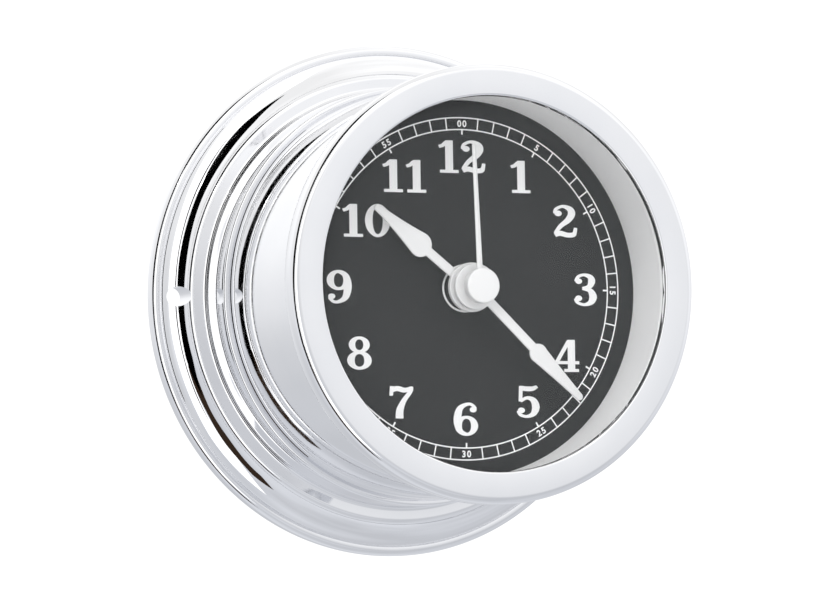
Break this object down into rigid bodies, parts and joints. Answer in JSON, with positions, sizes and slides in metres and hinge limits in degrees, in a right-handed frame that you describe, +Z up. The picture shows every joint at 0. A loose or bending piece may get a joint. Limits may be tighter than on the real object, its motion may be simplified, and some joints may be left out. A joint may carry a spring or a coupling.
{
  "type": "ships deck clock",
  "caption": "Round chromed quartz bulkhead clock with a moulded mounting flange, deep drum, wide bezel, black dial with white numerals and three white hands.",
  "frame": {"origin": "centre of the mounting flange's back face, in the plane of the wall", "axes": "+Y into the wall, so the dial faces -Y; +Z up towards 12 o'clock; +X to the right as seen from the front"},
  "size_m": [0.116, 0.0597, 0.116],
  "materials": {
    "chrome_case": "polished chrome plate on turned brass",
    "black_rubber": "matt",
    "clear_glass": "clear flat glass",
    "satin_nickel": "satin plate",
    "black_dial": "satin black lacquer",
    "black_plastic": "fine moulded grain",
    "zinc_steel": "bright zinc",
    "bridge_brass": "brushed",
    "stator_steel": "stamped sheet",
    "bobbin_plastic": "moulded",
    "copper_wire": "enamelled copper wire",
    "green_board": "solder mask",
    "crystal_can": "nickel can",
    "chip_resin": "epoxy",
    "contact_strip": "nickel plated strip",
    "battery_wrap": "printed foil with no lettering",
    "magnet": "sintered magnet",
    "wheel_brass": "stamped brass",
    "arbor_brass": "turned brass",
    "spring_steel": "spring strip",
    "white_plastic": "moulded",
    "hand_white": "satin white lacquer"
  },
  "bodies": {
    "clock_case": {"mounting_flange": "chrome_case", "drum": "chrome_case", "bezel_ring": "chrome_case", "glass_gasket": "black_rubber", "glass": "clear_glass", "spacer_ring": "satin_nickel", "dial": "black_dial", "rear_cover": "black_plastic", "rear_cover_screws": "zinc_steel", "movement_back_case": "black_plastic", "movement_front_case": "black_plastic", "movement_screws": "zinc_steel", "gear_bridge": "bridge_brass", "stator_plate": "stator_steel", "coil_bobbin": "bobbin_plastic", "coil_winding": "copper_wire", "circuit_board": "green_board", "quartz_crystal": "crystal_can", "timing_chip": "chip_resin", "contact_positive": "contact_strip", "contact_negative": "contact_strip", "battery": "battery_wrap"},
    "rotor_body": {"rotor": "magnet"},
    "intermediate_body": {"intermediate_wheel": "wheel_brass"},
    "seconds_body": {"seconds_wheel": "wheel_brass", "second_hand": "hand_white"},
    "third_body": {"third_wheel": "wheel_brass"},
    "centre_body": {"centre_wheel": "wheel_brass"},
    "minute_body": {"minute_arbor": "arbor_brass", "friction_spring": "spring_steel", "minute_hand": "hand_white"},
    "transfer_body": {"transfer_wheel": "wheel_brass"},
    "hour_body": {"hour_wheel": "wheel_brass", "hour_hand": "hand_white"},
    "setting_body": {"setting_knob": "white_plastic"}
  },
  "joints": [
    {"name": "second_hand_turn", "type": "hinge", "parent": "clock_case", "child": "seconds_body", "pos_m": [0, -0.0293, 0], "axis": [0, 1, 0], "continuous": true},
    {"name": "rotor_turn", "type": "hinge", "parent": "clock_case", "child": "rotor_body", "pos_m": [0.01785, -0.0305, 0.0065], "axis": [0, 1, 0], "continuous": true},
    {"name": "intermediate_turn", "type": "hinge", "parent": "clock_case", "child": "intermediate_body", "pos_m": [0.00987, -0.028, 0.00359], "axis": [0, 1, 0], "continuous": true},
    {"name": "third_turn", "type": "hinge", "parent": "clock_case", "child": "third_body", "pos_m": [-0.01005, -0.031, 0.00177], "axis": [0, 1, 0], "continuous": true},
    {"name": "centre_turn", "type": "hinge", "parent": "clock_case", "child": "centre_body", "pos_m": [0, -0.0327, 0], "axis": [0, 1, 0], "continuous": true},
    {"name": "minute_hand_turn", "type": "hinge", "parent": "clock_case", "child": "minute_body", "pos_m": [0, -0.035, 0], "axis": [0, 1, 0], "continuous": true},
    {"name": "transfer_turn", "type": "hinge", "parent": "clock_case", "child": "transfer_body", "pos_m": [0, -0.0356, 0.0075], "axis": [0, 1, 0], "continuous": true},
    {"name": "hour_hand_turn", "type": "hinge", "parent": "clock_case", "child": "hour_body", "pos_m": [0, -0.0375, 0], "axis": [0, 1, 0], "continuous": true},
    {"name": "setting_knob_turn", "type": "hinge", "parent": "clock_case", "child": "setting_body", "pos_m": [0, -0.035, 0.01688], "axis": [0, 1, 0], "continuous": true}
  ],
  "couplings": [
    {"joint": "intermediate_turn", "follows": "second_hand_turn", "ratio": -4},
    {"joint": "rotor_turn", "follows": "second_hand_turn", "ratio": 30},
    {"joint": "third_turn", "follows": "second_hand_turn", "ratio": -0.13333},
    {"joint": "centre_turn", "follows": "second_hand_turn", "ratio": 0.016667},
    {"joint": "transfer_turn", "follows": "minute_hand_turn", "ratio": -0.33333},
    {"joint": "hour_hand_turn", "follows": "minute_hand_turn", "ratio": 0.083333},
    {"joint": "setting_knob_turn", "follows": "minute_hand_turn", "ratio": 0.5}
  ]
}
